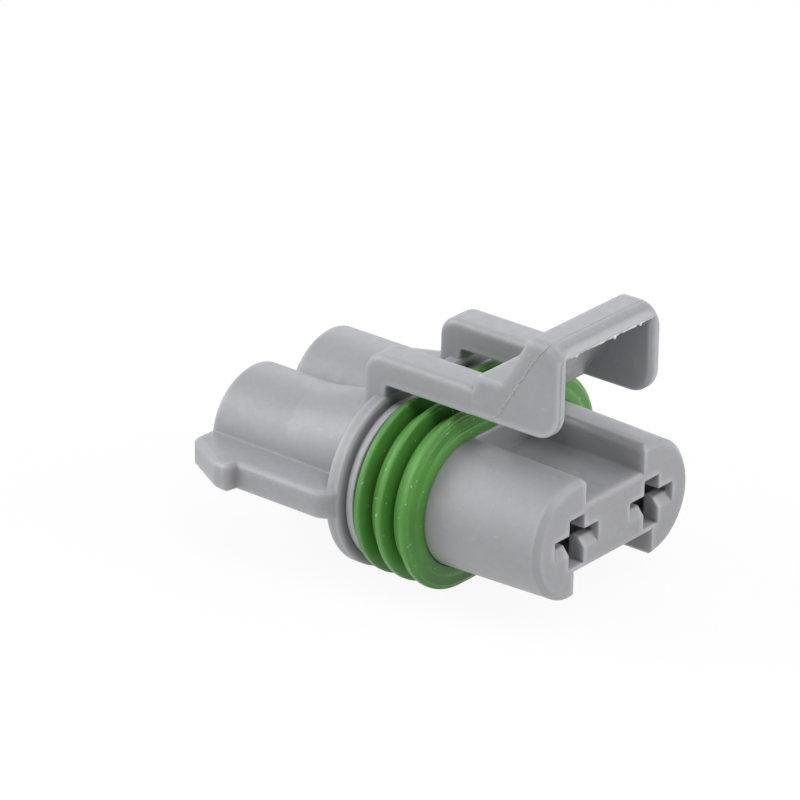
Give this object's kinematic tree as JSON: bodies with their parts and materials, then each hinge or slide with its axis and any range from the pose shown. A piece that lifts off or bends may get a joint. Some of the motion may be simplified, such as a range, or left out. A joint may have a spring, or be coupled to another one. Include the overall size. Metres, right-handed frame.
{
  "type": "sealed wire connector socket",
  "caption": "Sealed plug-in wire connector half: side-by-side wire barrels, hooked side rails, ribbed perimeter seal, keyed nose with blade slots and a hollow crossbar lock arm.",
  "frame": {"origin": "middle of the nose's front face, on the centre plane of the terminals", "axes": "+X is the mating direction, out of the nose; +Y runs across from one barrel to the other; +Z is the side of the lock arm"},
  "size_m": [0.0278, 0.0236, 0.0198],
  "materials": {
    "housing_plastic": "matte moulded",
    "arm_plastic": "matte moulded",
    "seal_silicone": "waxy silicone"
  },
  "bodies": {
    "housing": {"housing": "housing_plastic", "perimeter_seal": "seal_silicone"},
    "lock_arm": {"lock_arm": "arm_plastic"}
  },
  "joints": [
    {"name": "lock_arm_lift", "type": "hinge", "parent": "housing", "child": "lock_arm", "pos_m": [-0.01555, 0, 0.0077], "axis": [0, -1, 0], "range_deg": [0, 7], "stiffness_Nm_per_rad": 0.8}
  ]
}
